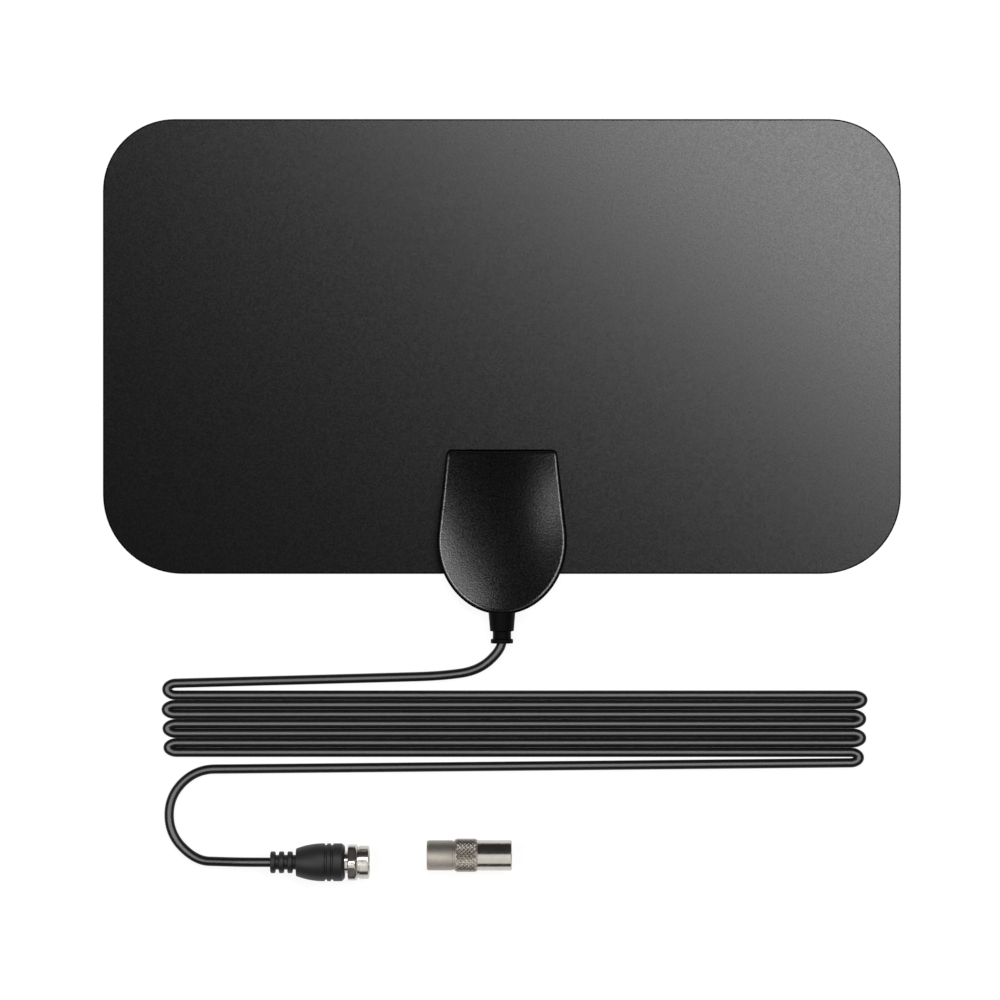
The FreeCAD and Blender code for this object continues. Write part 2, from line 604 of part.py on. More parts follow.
def plug_grip():
    """One moulding: the relief, and a grip that swells to a straight front with ring grooves."""
    rear, full = GRIP_REAR_DIAMETER / 2, GRIP_DIAMETER / 2
    swell_end = GRIP_START_X + GRIP_SWELL_LENGTH
    start, shoulder = on_plug(GRIP_START_X, rear), on_plug(swell_end, full)
    bulge = (start + shoulder) / 2 + UP * GRIP_SWELL_BULGE
    front = on_plug(GRIP_END_X - GRIP_FRONT_EDGE, full)
    tip = on_plug(GRIP_END_X, full - GRIP_FRONT_EDGE)
    hub, nose = on_plug(GRIP_START_X, 0), on_plug(GRIP_END_X, 0)
    outline = Part.Wire([arc(start, bulge, shoulder), line(shoulder, front), line(front, tip), line(tip, nose),
                         line(nose, hub), line(hub, start)])
    grip = Part.Face(outline).revolve(PLUG_AXIS, ALONG_X, 360)
    floor = full - GRIP_GROOVE_DEPTH
    cuts = [Part.makeCylinder(SLEEVE_DIAMETER / 2, SLEEVE_IN_GRIP, on_plug(SLEEVE_START_X, 0), ALONG_X)]
    for number in range(GRIP_GROOVES):
        near = swell_end + number * GRIP_GROOVE_PITCH
        far = near + GRIP_GROOVE_WIDTH
        cuts.append(turned([(near, full), (near, floor), (far, floor), (far, full)], PLUG_AXIS, ALONG_X, UP))
    return union(plug_relief(), grip.cut(cuts))


def plug_sleeve():
    """The turned tube that the nut spins on, with the flange that holds the nut."""
    bore, outer = SLEEVE_BORE / 2, SLEEVE_DIAMETER / 2
    flange = NUT_BORE / 2 - SLEEVE_FLANGE_CLEARANCE
    profile = [(SLEEVE_START_X, bore), (SLEEVE_START_X, outer), (FLANGE_START_X, outer),
               (FLANGE_START_X, flange), (FLANGE_END_X, flange), (FLANGE_END_X, bore)]
    return turned(profile, PLUG_AXIS, ALONG_X, UP)


def plug_dielectric():
    root, outer = PLUG_PIN_ROOT / 2, SLEEVE_BORE / 2
    profile = [(SLEEVE_START_X, root), (SLEEVE_START_X, outer), (FLANGE_END_X, outer), (FLANGE_END_X, root)]
    return turned(profile, PLUG_AXIS, ALONG_X, UP)


def plug_pin():
    """The contact pin: a thick root held in the insulator, and the bare pin in front of it."""
    end = NUT_END_X - PLUG_PIN_RECESS
    root, radius = PLUG_PIN_ROOT / 2, PLUG_PIN_DIAMETER / 2
    profile = [(SLEEVE_START_X, 0), (SLEEVE_START_X, root), (FLANGE_END_X, root), (FLANGE_END_X, radius),
               (end - radius, radius), (end, radius / 2), (end, 0)]
    return turned(profile, PLUG_AXIS, ALONG_X, UP)


def coupling_nut():
    """A hexagon with turned corners, a waist, a round collar and a lip behind that runs on the sleeve."""
    corner = NUT_ACROSS_FLATS / math.sqrt(3)
    turns = [math.radians(60 * number + 90) for number in range(6)]
    points = [on_plug(NUT_START_X, 0) + Vector(0, math.cos(turn), math.sin(turn)) * corner for turn in turns]
    hexagon = Part.Face(Part.makePolygon(points + points[:1])).extrude(ALONG_X * NUT_HEX_LENGTH)
    bore = NUT_BORE / 2
    hex_end = NUT_START_X + NUT_HEX_LENGTH
    waist, waist_end = bore + NUT_WAIST_WALL, hex_end + NUT_WAIST_LENGTH
    collar = bore + NUT_COLLAR_WALL
    envelope = turned([
        (NUT_START_X, 0), (NUT_START_X, NUT_CORNER_RADIUS - NUT_EDGE),
        (NUT_START_X + NUT_EDGE, NUT_CORNER_RADIUS), (hex_end - NUT_HEX_CHAMFER, NUT_CORNER_RADIUS),
        (hex_end, collar), (hex_end, 0),
    ], PLUG_AXIS, ALONG_X, UP)
    front = turned([
        (hex_end, 0), (hex_end, waist), (waist_end, waist), (waist_end, collar),
        (NUT_END_X - NUT_EDGE, collar), (NUT_END_X, collar - NUT_EDGE), (NUT_END_X, 0),
    ], PLUG_AXIS, ALONG_X, UP)
    lip, lip_end = SLEEVE_DIAMETER / 2 + RUNNING_FIT, NUT_START_X + NUT_LIP
    hollow = turned([
        (NUT_START_X, 0), (NUT_START_X, lip), (lip_end, lip), (lip_end, bore), (NUT_END_X, bore),
        (NUT_END_X, 0),
    ], PLUG_AXIS, ALONG_X, UP)
    return union(hexagon.common(envelope), front).cut(hollow)


# Loose adapter
def adapter_body():
    """One turned piece: jack barrel, gripping band and the plug's open shell."""
    jack, band, shell = JACK_DIAMETER / 2, BAND_DIAMETER / 2, SHELL_DIAMETER / 2
    jack_bore, shell_bore = JACK_BORE / 2, SHELL_BORE / 2
    return turned([
        (ADAPTER_X, jack_bore), (ADAPTER_X, jack - JACK_CHAMFER), (ADAPTER_X + JACK_CHAMFER, jack),
        (BAND_START_X, jack), (BAND_START_X, band - BAND_CHAMFER), (BAND_START_X + BAND_CHAMFER, band),
        (SHELL_START_X - BAND_CHAMFER, band), (SHELL_START_X, band - BAND_CHAMFER), (SHELL_START_X, shell),
        (ADAPTER_END_X - SHELL_EDGE, shell), (ADAPTER_END_X, shell - SHELL_EDGE), (ADAPTER_END_X, shell_bore),
        (SHELL_FLOOR_X, shell_bore), (SHELL_FLOOR_X, jack_bore),
    ], ADAPTER_AXIS, ALONG_X, UP)


def adapter_pin():
    """The through contact: a socket in the jack and the plug's hollow-tipped pin."""
    end = ADAPTER_END_X - ADAPTER_PIN_RECESS
    tip_floor, socket_floor = end - ADAPTER_PIN_TIP_DEPTH, CONTACT_X + CONTACT_DEPTH
    contact, pin = CONTACT_DIAMETER / 2, ADAPTER_PIN_DIAMETER / 2
    socket, tip = CONTACT_BORE / 2, ADAPTER_PIN_TIP_BORE / 2
    nose = (pin - tip) / 2
    return turned([
        (CONTACT_X, socket), (CONTACT_X, contact), (SHELL_FLOOR_X, contact), (SHELL_FLOOR_X, pin),
        (end - nose, pin), (end, pin - nose), (end, tip), (tip_floor, tip), (tip_floor, 0),
        (socket_floor, 0), (socket_floor, socket),
    ], ADAPTER_AXIS, ALONG_X, UP)


def jack_insulator():
    """The plastic bush in the jack: it holds the contact and guides the centre wire in."""
    hole, contact, outer = JACK_HOLE / 2, CONTACT_DIAMETER / 2, JACK_BORE / 2
    return turned([
        (ADAPTER_X, hole), (ADAPTER_X, outer), (SHELL_FLOOR_X, outer), (SHELL_FLOOR_X, contact),
        (CONTACT_X, contact), (CONTACT_X, hole),
    ], ADAPTER_AXIS, ALONG_X, UP)


def shell_insulator():
    """The dark disc at the bottom of the plug's shell, round the root of the pin."""
    end = SHELL_FLOOR_X + SHELL_INSULATOR
    pin, outer = ADAPTER_PIN_DIAMETER / 2, SHELL_BORE / 2
    return turned([(SHELL_FLOOR_X, pin), (SHELL_FLOOR_X, outer), (end, outer), (end, pin)],
                  ADAPTER_AXIS, ALONG_X, UP)


PIECES = {
    "rear_sheet": rear_sheet,
    "foil_left": lambda: foil(-1),
    "foil_right": lambda: foil(1),
    "front_sheet": front_sheet,
    "rear_cover": rear_cover,
    "feed_board": feed_board,
    "contact_eyelets": contact_eyelets,
    "balun_core": balun_core,
    "balun_winding": balun_winding,
    "front_cover": front_cover,
    "strain_relief": strain_relief,
    "coax_cable": coax_cable,
    "coax_braid": coax_braid,
    "coax_dielectric": coax_dielectric,
    "coax_conductor": coax_conductor,
    "plug_grip": plug_grip,
    "plug_sleeve": plug_sleeve,
    "plug_dielectric": plug_dielectric,
    "plug_pin": plug_pin,
    "coupling_nut": coupling_nut,
    "adapter_body": adapter_body,
    "adapter_pin": adapter_pin,
    "jack_insulator": jack_insulator,
    "shell_insulator": shell_insulator,
}

os.makedirs("parts", exist_ok=True)
for name, make in PIECES.items():
    make().exportStep(os.path.join("parts", name + ".step"))
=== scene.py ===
# Flat indoor TV antenna, seen from straight above as it lies on a white table: a laminated film panel,
# a shield-shaped feed housing on its lower edge, a thin coax laid to and fro, its screw-on plug and
# the loose adapter. Sizes are in millimetres and turned to metres where a mesh is made.
import math

import bmesh
import bpy
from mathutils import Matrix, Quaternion, Vector


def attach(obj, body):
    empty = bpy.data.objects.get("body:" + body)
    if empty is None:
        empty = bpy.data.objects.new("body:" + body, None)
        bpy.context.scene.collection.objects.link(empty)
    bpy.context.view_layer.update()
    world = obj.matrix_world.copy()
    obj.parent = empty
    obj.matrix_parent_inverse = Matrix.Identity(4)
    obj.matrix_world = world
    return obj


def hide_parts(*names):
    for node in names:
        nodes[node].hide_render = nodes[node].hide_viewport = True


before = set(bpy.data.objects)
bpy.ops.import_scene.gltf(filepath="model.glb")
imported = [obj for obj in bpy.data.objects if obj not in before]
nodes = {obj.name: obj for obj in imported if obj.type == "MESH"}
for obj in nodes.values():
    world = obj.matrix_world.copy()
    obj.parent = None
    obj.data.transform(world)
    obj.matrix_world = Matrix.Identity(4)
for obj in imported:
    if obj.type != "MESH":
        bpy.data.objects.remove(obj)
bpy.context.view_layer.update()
MM = 0.001

# Panel: two sheets of black polypropylene film laminated over the foil and die-cut in one stroke,
# which presses the front sheet's rim down in a narrow bevel. The rear sheet is the CAD node.
PANEL_WIDTH = 250.0
PANEL_HEIGHT = 142.5
TOP_CORNER = 22.5
BOTTOM_CORNER = 25.0
FILM_BACK = 0.5
FILM_FRONT = 0.9
FOIL_TOP = 0.6
FOIL_POCKET_INSET = 9.5
RIM_WIDTH = 0.45
RIM_DROP = 0.2
RIM_CREASE = 15
LEVEL_FACE = 0.99
CORNER_STEPS = 20


def colour(code):
    """An sRGB hex colour as the linear RGBA that a shader takes."""
    channels = [int(code[place:place + 2], 16) / 255 for place in (1, 3, 5)]
    return [c / 12.92 if c <= 0.04045 else ((c + 0.055) / 1.055) ** 2.4 for c in channels] + [1.0]


def add_node(tree, kind, inputs=None, **settings):
    """Adds a node with its settings; each input is given a value or linked to an output."""
    node = tree.nodes.new(kind)
    for name, value in settings.items():
        setattr(node, name, value)
    for name, value in (inputs or {}).items():
        if isinstance(value, bpy.types.NodeSocket):
            tree.links.new(value, node.inputs[name])
        else:
            node.inputs[name].default_value = value
    return node


def new_material(name, sockets):
    """A material with even values on its shader's sockets; returns it, its tree, shader and coordinates."""
    material = bpy.data.materials.new(name)
    material.use_nodes = True
    tree = material.node_tree
    shader = tree.nodes["Principled BSDF"]
    for socket, value in sockets.items():
        shader.inputs[socket].default_value = value
    return material, tree, shader, add_node(tree, "ShaderNodeTexCoord").outputs["Object"]


def grained_plastic(name, dark, pale, patch, grain, height, roughness, spread, specular):
    """Plastic whose tone drifts over patches, with a fine grain in its gloss and relief. Sizes in mm."""
    material, tree, shader, place = new_material(name, {"Specular IOR Level": specular})
    drift = add_node(tree, "ShaderNodeTexNoise", {"Vector": place, "Scale": 1 / (patch * MM), "Detail": 3.0})
    tone = add_node(tree, "ShaderNodeMix", {0: drift.outputs[0], 6: colour(dark), 7: colour(pale)},
                    data_type="RGBA")
    fine = add_node(tree, "ShaderNodeTexNoise", {"Vector": place, "Scale": 1 / (grain * MM), "Detail": 2.0})
    gloss = add_node(tree, "ShaderNodeMapRange", {
        "Value": fine.outputs[0], "From Min": 0.25, "From Max": 0.75,
        "To Min": roughness - spread, "To Max": roughness + spread})
    bump = add_node(tree, "ShaderNodeBump", {"Height": fine.outputs[0], "Distance": height * MM})
    tree.links.new(tone.outputs[2], shader.inputs["Base Color"])
    tree.links.new(gloss.outputs[0], shader.inputs["Roughness"])
    tree.links.new(bump.outputs[0], shader.inputs["Normal"])
    return material


def new_piece(name, body, *materials):
    """Makes a finished bmesh an object of the scene."""
    mesh = bpy.data.meshes.new(name)
    body.to_mesh(mesh)
    body.free()
    piece = bpy.data.objects.new(name, mesh)
    bpy.context.scene.collection.objects.link(piece)
    for material in materials:
        mesh.materials.append(material)
    return piece


def smooth(piece, crease):
    """Shades a piece smooth, with edges sharper than the crease angle (degrees) left crisp."""
    piece.data.shade_smooth()
    piece.data.set_sharp_from_angle(angle=math.radians(crease))


def dress(material, *names):
    """Gives CAD nodes that stay as they are their finish."""
    for name in names:
        nodes[name].data.materials.clear()
        nodes[name].data.materials.append(material)


# Satin film: a fine even grain rolled into the surface spreads each highlight into a soft sheen.
# The real grain is near 0.1 mm; it is drawn at 0.6 mm so that it shows at the render's scale.
satin_film = grained_plastic("satin_polypropylene_film", "#070708", "#0a0a0b", patch=14.0, grain=0.6,
                             height=0.005, roughness=0.27, spread=0.04, specular=0.5)

# Where the die presses the sheets together and cuts them, the bevel and the edge get a darker film with
# almost
# no reflection: painted shade that draws a fine black line round the panel.
shaded_edge_film = grained_plastic("film_edge_painted_shade", "#010101", "#030303", patch=14.0, grain=0.6, height=0.002,
                           roughness=0.7, spread=0.03, specular=0.05)


def panel_outline(inset):
    """The panel's outline drawn in by a margin, as points in the XY plane."""
    points = []
    corners = [(1, 1, TOP_CORNER), (-1, 1, TOP_CORNER), (-1, -1, BOTTOM_CORNER), (1, -1, BOTTOM_CORNER)]
    for quarter, (side, rise, corner) in enumerate(corners):
        centre = Vector((side * (PANEL_WIDTH / 2 - corner), rise * (PANEL_HEIGHT / 2 - corner), 0))
        for step in range(CORNER_STEPS + 1):
            angle = math.pi / 2 * (quarter + step / CORNER_STEPS)
            points.append(centre + Vector((math.cos(angle), math.sin(angle), 0)) * (corner - inset))
    return points


film = bmesh.new()
levels = [(FOIL_POCKET_INSET, FOIL_TOP), (FOIL_POCKET_INSET, FILM_BACK), (0, FILM_BACK),
          (0, FILM_FRONT - RIM_DROP), (RIM_WIDTH, FILM_FRONT)]
rings = [[film.verts.new((point + Vector((0, 0, level))) * MM) for point in panel_outline(inset)]
         for inset, level in levels]
for lower, upper in zip(rings, rings[1:]):
    for here in range(len(lower)):
        film.faces.new((lower[here - 1], lower[here], upper[here], upper[here - 1]))
film.faces.new(rings[0][::-1])
film.faces.new(rings[-1])
bmesh.ops.recalc_face_normals(film, faces=film.faces)
front_film = new_piece("front_film", film, satin_film, shaded_edge_film)
# Faces that are not level, the bevel and the edge, take the film with painted shade.
for face in front_film.data.polygons:
    face.material_index = int(abs(face.normal.z) < LEVEL_FACE)
smooth(front_film, RIM_CREASE)
front_film.modifiers.new("flat_face", "WEIGHTED_NORMAL").keep_sharp = True
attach(front_film, "antenna")
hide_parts("front_sheet")
dress(satin_film, "rear_sheet")

# Dipole: two halves of thin aluminium foil, die-cut and sealed between the sheets.
# Rolled foil is bright and streaked along the direction of rolling.
STREAK_LENGTH = 50.0
STREAKS_PER_MM = 1.5

foil, tree, shader, place = new_material("rolled_aluminium_foil", {"Metallic": 1.0})
stretched = add_node(tree, "ShaderNodeMapping", {
    "Vector": place, "Scale": (1 / (STREAK_LENGTH * MM), STREAKS_PER_MM / MM, 1.0)})
streaks = add_node(tree, "ShaderNodeTexNoise", {"Vector": stretched.outputs[0], "Scale": 1.0, "Detail": 4.0})
tone = add_node(tree, "ShaderNodeMix", {0: streaks.outputs[0], 6: colour("#b8b9bb"), 7: colour("#dcddde")},
                data_type="RGBA")
gloss = add_node(tree, "ShaderNodeMapRange", {"Value": streaks.outputs[0], "To Min": 0.22, "To Max": 0.38})
tree.links.new(tone.outputs[2], shader.inputs["Base Color"])
tree.links.new(gloss.outputs[0], shader.inputs["Roughness"])
dress(foil, "foil_left", "foil_right")

# Housing: base and cover, two black ABS mouldings pegged together over the panel's lower edge.
# The mould was spark-eroded. Surfaces that face sideways lose their reflection, as painted shade that keeps
# the walls black.
FACE_ROUGHNESS = 0.27
SHADED_WALL_ROUGHNESS = 0.85
FACE_SPECULAR = 0.5
SHADED_WALL_SPECULAR = 0.0
FACE_RISES = 0.6
SHADED_WALL_RISES = 0.3

# Eroded ABS has a fine even grain that sparkles where it faces a light. Its walls carry painted shade:
# rougher and without any reflection, they stay black.
# The real grit is about 0.1 mm; it is drawn at 0.55 mm so that it shows at the render's scale.
eroded_abs = grained_plastic("spark_eroded_black_abs", "#030303", "#060607", patch=6.0, grain=0.55,
                             height=0.05, roughness=FACE_ROUGHNESS, spread=0.1, specular=FACE_SPECULAR)
tree = eroded_abs.node_tree
shader = tree.nodes["Principled BSDF"]
# By which way a surface faces, its gloss and reflection fade to none on the walls: painted shade.
geometry = add_node(tree, "ShaderNodeNewGeometry")
facing = add_node(tree, "ShaderNodeSeparateXYZ", {0: geometry.outputs["Normal"]})
painted_shade_share = add_node(tree, "ShaderNodeMapRange", {"Value": facing.outputs["Z"], "From Min": FACE_RISES,
                                                   "From Max": SHADED_WALL_RISES})
face_gloss = shader.inputs["Roughness"].links[0].from_socket
shaded_wall_gloss = add_node(tree, "ShaderNodeMix", {0: painted_shade_share.outputs[0], 2: face_gloss, 3: SHADED_WALL_ROUGHNESS})
painted_shade_specular = add_node(tree, "ShaderNodeMapRange", {"Value": painted_shade_share.outputs[0], "To Min": FACE_SPECULAR,
                                                    "To Max": SHADED_WALL_SPECULAR})
tree.links.new(shaded_wall_gloss.outputs[0], shader.inputs["Roughness"])
tree.links.new(painted_shade_specular.outputs[0], shader.inputs["Specular IOR Level"])
dress(eroded_abs, "rear_cover", "front_cover")

# Feed: the glass-fibre board with its green solder mask and tracks, riveted down by two brass eyelets.
# All of it is sealed in the housing, with the ferrite core and its winding on top.
TRACK_SPACING = 12.0
TRACK_SHARE = 0.03
TRACK_HEIGHT = 0.03
SCRATCH_DEPTH = 0.002

# Solder mask is a glossy green lacquer, and the copper tracks under it show as paler raised lines.
solder_mask, tree, shader, place = new_material("green_solder_mask", {"Roughness": 0.3})
tracks = add_node(tree, "ShaderNodeTexBrick", {
    "Vector": place, "Scale": 1 / (TRACK_SPACING * MM), "Mortar Size": TRACK_SHARE,
    "Color1": colour("#0d4a2b"), "Color2": colour("#10552f"), "Mortar": colour("#1d7a45")})
relief = add_node(tree, "ShaderNodeBump", {"Height": tracks.outputs[1], "Distance": TRACK_HEIGHT * MM})
tree.links.new(tracks.outputs[0], shader.inputs["Base Color"])
tree.links.new(relief.outputs[0], shader.inputs["Normal"])
dress(solder_mask, "feed_board")


def bare_metal(name, dark, pale, patch, low, high, scratch):
    """Metal whose tone and gloss drift over patches, with fine scratches at a spacing. Sizes in mm."""
    material, tree, shader, place = new_material(name, {"Metallic": 1.0})
    drift = add_node(tree, "ShaderNodeTexNoise", {"Vector": place, "Scale": 1 / (patch * MM), "Detail": 4.0})
    tone = add_node(tree, "ShaderNodeMix", {0: drift.outputs[0], 6: colour(dark), 7: colour(pale)},
                    data_type="RGBA")
    gloss = add_node(tree, "ShaderNodeMapRange", {"Value": drift.outputs[0], "To Min": low, "To Max": high})
    fine = add_node(tree, "ShaderNodeTexNoise", {"Vector": place, "Scale": 1 / (scratch * MM), "Detail": 2.0})
    bump = add_node(tree, "ShaderNodeBump", {"Height": fine.outputs[0], "Distance": SCRATCH_DEPTH * MM})
    tree.links.new(tone.outputs[2], shader.inputs["Base Color"])
    tree.links.new(gloss.outputs[0], shader.inputs["Roughness"])
    tree.links.new(bump.outputs[0], shader.inputs["Normal"])
    return material


# Pressed brass is yellow, with a soft shine where the rivet's head was rolled.
pressed_brass = bare_metal("pressed_brass", "#a8873c", "#c9a655", patch=1.5, low=0.25, high=0.4, scratch=0.2)
dress(pressed_brass, "contact_eyelets")

# Sintered ferrite is a dark grey ceramic, matt and a little rough.
sintered_ferrite = grained_plastic("sintered_ferrite", "#1c1c1e", "#29292b", patch=2.0, grain=0.15,
                                   height=0.02, roughness=0.62, spread=0.05, specular=0.4)
dress(sintered_ferrite, "balun_core")

# Drawn copper wire is reddish and half bright.
drawn_copper = bare_metal("drawn_copper", "#a5603c", "#c8805a", patch=1.0, low=0.22, high=0.36, scratch=0.1)
dress(drawn_copper, "balun_winding", "coax_braid", "coax_conductor")

# Strain relief: a soft black rubber boot pushed through the housing's end wall before the halves are closed.
# Its root is shaped to the wall. It tapers to a bending groove and ends in a collar, with no sharp edge.
BOOT_HEIGHT = 5.262
BOOT_ROOT = -84.05
BOOT_END = -92.85
BOOT_PROFILE = [(-79.2, 1.5), (-79.2, 4.0), (-80.6, 4.0), (-80.6, 2.5), (BOOT_ROOT, 2.5), (BOOT_ROOT, 4.2),
                (-89.05, 3.7), (-89.05, 2.85), (-91.45, 2.85), (-91.45, 3.5), (BOOT_END, 3.5),
                (BOOT_END, 2.7), (-87.65, 1.5)]
BOOT_EDGE = 0.28
SAME_PLACE = 0.01
WALL_FOOT = 0.9
WALL_LEAN = 0.119
WALL_BOW_RADIUS = 18.0
TURN_STEPS = 96


def turned(name, profile, origin, axis, material, shape=None):
    """Turns a loop of (place along the axis, radius) points into a closed piece. Shape may alter a radius."""
    body = bmesh.new()
    up = Vector((0, 0, 1))
    across = axis.cross(up)
    rings = []
    for along, radius in profile:
        middle = origin + axis * along
        if radius == 0:
            rings.append([body.verts.new(middle * MM)] * TURN_STEPS)
            continue
        ring = []
        for step in range(TURN_STEPS):
            angle = 2 * math.pi * step / TURN_STEPS
            reach = shape(along, radius, angle) if shape else radius
            outward = up * math.cos(angle) + across * math.sin(angle)
            ring.append(body.verts.new((middle + outward * reach) * MM))
        rings.append(ring)
    for near, far in zip(rings, rings[1:] + rings[:1]):
        for step in range(TURN_STEPS):
            corners = list(dict.fromkeys((near[step - 1], near[step], far[step], far[step - 1])))
            if len(corners) > 2:
                body.faces.new(corners)
    bmesh.ops.recalc_face_normals(body, faces=body.faces)
    return new_piece(name, body, material)


def rounded(piece, width, crease=32):
    """Rounds a piece's sharp edges by a width in mm."""
    smooth(piece, crease)
    bevel = piece.modifiers.new("rounded_edges", "BEVEL")
    bevel.width = width * MM
    bevel.segments = 3
    bevel.limit_method = "ANGLE"
    bevel.angle_limit = math.radians(crease)
    bevel.harden_normals = True
    return piece


# Soft rubber from a matt mould takes almost no highlight and stays black in any light.
# Its grain is drawn at 0.35 mm, coarser than the real one, so that it shows at the render's scale.
soft_rubber = grained_plastic("moulded_black_rubber", "#020202", "#040404", patch=3.0, grain=0.35,
                              height=0.02, roughness=0.6, spread=0.05, specular=0.08)
boot = turned("strain_relief_boot", BOOT_PROFILE, Vector((0, 0, BOOT_HEIGHT)), Vector((0, 1, 0)), soft_rubber)
for corner in boot.data.vertices:
    x, y, z = corner.co / MM
    if abs(y - BOOT_ROOT) < SAME_PLACE:
        corner.co.y += (WALL_LEAN * (z - WALL_FOOT) + x * x / (2 * WALL_BOW_RADIUS)) * MM
rounded(boot, BOOT_EDGE)
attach(boot, "antenna")
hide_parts("strain_relief")

# Coax: 1.9 m of thin 75-ohm cable in a black PVC jacket. It leaves the boot to the left, runs to and fro
# seven times on the table, each run against the last, and comes back to the plug in an open loop.
# The jacket is drawn 0.04 mm fuller all round than the cable, so that no light shows between the runs.
JACKET_RADIUS = 1.49
ON_TABLE = JACKET_RADIUS
FOLD_REACH = 2.9
LEAD = [(0, -76.2, BOOT_HEIGHT), (0, -89.5, BOOT_HEIGHT), (0, -94.6, BOOT_HEIGHT), (-7.2, -101.4, 4.2),
        (-18.6, -103.1, 2.5), (-32.0, -103.6, ON_TABLE)]
LEAD_END = -105.5
FIRST_RUN = -109.2
RUN_PITCH = 2.98
RUNS = 7
LAST_STEP = 3.3
LEFT_TIPS = [-104.9, -105.1, -104.8, -104.5]
RIGHT_TIPS = [113.0, 112.6, 112.6, 111.9]
PLUG_LINE = -161.1
PLUG_HEIGHT = 6.001
TAIL = [(-84.0, -132.3, ON_TABLE), (-95.8, -132.4, ON_TABLE), (-104.2, -140.8, ON_TABLE),
        (-104.2, -152.6, ON_TABLE), (-95.8, -161.0, 2.3), (-87.2, PLUG_LINE, 4.2),
        (-79.6, PLUG_LINE, PLUG_HEIGHT), (-72.2, PLUG_LINE, PLUG_HEIGHT)]


def fold(tip, outward, here, there):
    """Half a turn of the cable between two runs, drawn out to a tip."""
    eighth = math.pi / 8
    middle = (here + there) / 2
    reach = FOLD_REACH / math.cos(eighth)
    spread = (here - middle) / math.cos(eighth)
    return [Vector((tip + outward * (reach * math.sin(step * eighth) - FOLD_REACH),
                    middle + spread * math.cos(step * eighth), ON_TABLE)) for step in (1, 3, 5, 7)]


def towards(start, end, distance):
    """The point at a distance from the start, on the way to the end."""
    return start + (end - start).normalized() * distance


route = [Vector(point) for point in LEAD]
run_levels = [LEAD_END] + [FIRST_RUN - RUN_PITCH * run for run in range(RUNS)]
run_levels.append(run_levels[-1] - LAST_STEP)
for number in range(RUNS + 1):
    outward = 1 if number % 2 else -1
    tips = RIGHT_TIPS if number % 2 else LEFT_TIPS
    turn = fold(tips[number // 2], outward, run_levels[number], run_levels[number + 1])
    beside = (turn[1] - turn[0]).length
    run_on = Vector(TAIL[0]) if number == RUNS else turn[-1] - Vector((outward, 0, 0))
    route += [towards(turn[0], route[-1], beside), *turn, towards(turn[-1], run_on, beside)]
route += [Vector(point) for point in TAIL]

jacket_curve = bpy.data.curves.new("coax_jacket", "CURVE")
jacket_curve.dimensions = "3D"
spline = jacket_curve.splines.new("NURBS")
spline.points.add(len(route) - 1)
for control, point in zip(spline.points, route):
    control.co = (*(point * MM), 1.0)
spline.order_u = 3
spline.use_endpoint_u = True
spline.resolution_u = 12
jacket_curve.bevel_depth = JACKET_RADIUS * MM
jacket_curve.bevel_resolution = 8
jacket_curve.use_fill_caps = True
jacket = bpy.data.objects.new("coax_jacket", jacket_curve)
bpy.context.scene.collection.objects.link(jacket)

# Extruded PVC is smooth and softly glossy, with the faint ripple that the braid under it leaves.
extruded_pvc = grained_plastic("extruded_black_pvc", "#030303", "#050505", patch=9.0, grain=1.1,
                               height=0.004, roughness=0.3, spread=0.03, specular=0.15)
jacket_curve.materials.append(extruded_pvc)
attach(jacket, "antenna")
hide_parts("coax_cable")

# Polyethylene insulation is milky and waxy: pale, with a soft blurred highlight.
milky_plastic = grained_plastic("milky_polyethylene", "#dcdad0", "#e9e7de", patch=2.0, grain=0.3,
                                height=0.005, roughness=0.4, spread=0.05, specular=0.5)
dress(milky_plastic, "coax_dielectric")

# Plug grip: one dark grey PVC moulding shot over the cable's end. Its tail is a ribbed strain relief,
# and the grip swells to a straight front with two ring grooves for the fingers.
PLUG_AXIS = Vector((0, PLUG_LINE, PLUG_HEIGHT))
ALONG_X = Vector((1, 0, 0))
TAIL_START = -72.2
GRIP_START = -64.2
GRIP_END = -49.0
RELIEF_CORE = 2.3
RIB_RADIUS = 3.4
RIB_WIDTH = 1.6
RIB_EASE = 0.42
RIB_EASE_STEPS = 4
RIB_ROOT = 0.3
RIBS = 3
SWELL = 9.0
SWELL_STEPS = 10
GRIP_REAR = 4.3
GRIP_FULL = 5.9
GRIP_BULGE = 0.45
GROOVE_DEPTH = 0.5
GROOVE_WIDTH = 0.7
GROOVE_PITCH = 1.9
GROOVES = 2
SLEEVE_RADIUS = 3.45
SLEEVE_START = -58.0
FRONT_EDGE = 0.9
GRIP_EDGE = 0.22


def node_tree(name, inputs):
    """A geometry tree with named inputs; returns it with its input node."""
    tree = bpy.data.node_groups.new(name, "GeometryNodeTree")
    for label, kind in inputs.items():
        tree.interface.new_socket(label, in_out="INPUT", socket_type=kind)
    tree.interface.new_socket("Geometry", in_out="OUTPUT", socket_type="NodeSocketGeometry")
    return tree, add_node(tree, "NodeGroupInput")


def close_tree(tree, geometry, finish):
    """Ends a geometry tree with real faces and one material."""
    real = add_node(tree, "GeometryNodeRealizeInstances", {"Geometry": geometry})
    finished = add_node(tree, "GeometryNodeSetMaterial", {"Geometry": real.outputs[0], "Material": finish})
    add_node(tree, "NodeGroupOutput", {0: finished.outputs[0]})


def grown(name, tree, values):
    """Runs a geometry tree and keeps what it makes as a plain mesh."""
    piece = bpy.data.objects.new(name, bpy.data.meshes.new(name))
    bpy.context.scene.collection.objects.link(piece)
    modifier = piece.modifiers.new(name, "NODES")
    modifier.node_group = tree
    for item in tree.interface.items_tree:
        if item.in_out == "INPUT":
            modifier[item.identifier] = values[item.name]
    mesh = bpy.data.meshes.new_from_object(piece.evaluated_get(bpy.context.evaluated_depsgraph_get()))
    piece.modifiers.remove(modifier)
    piece.data = mesh
    return piece


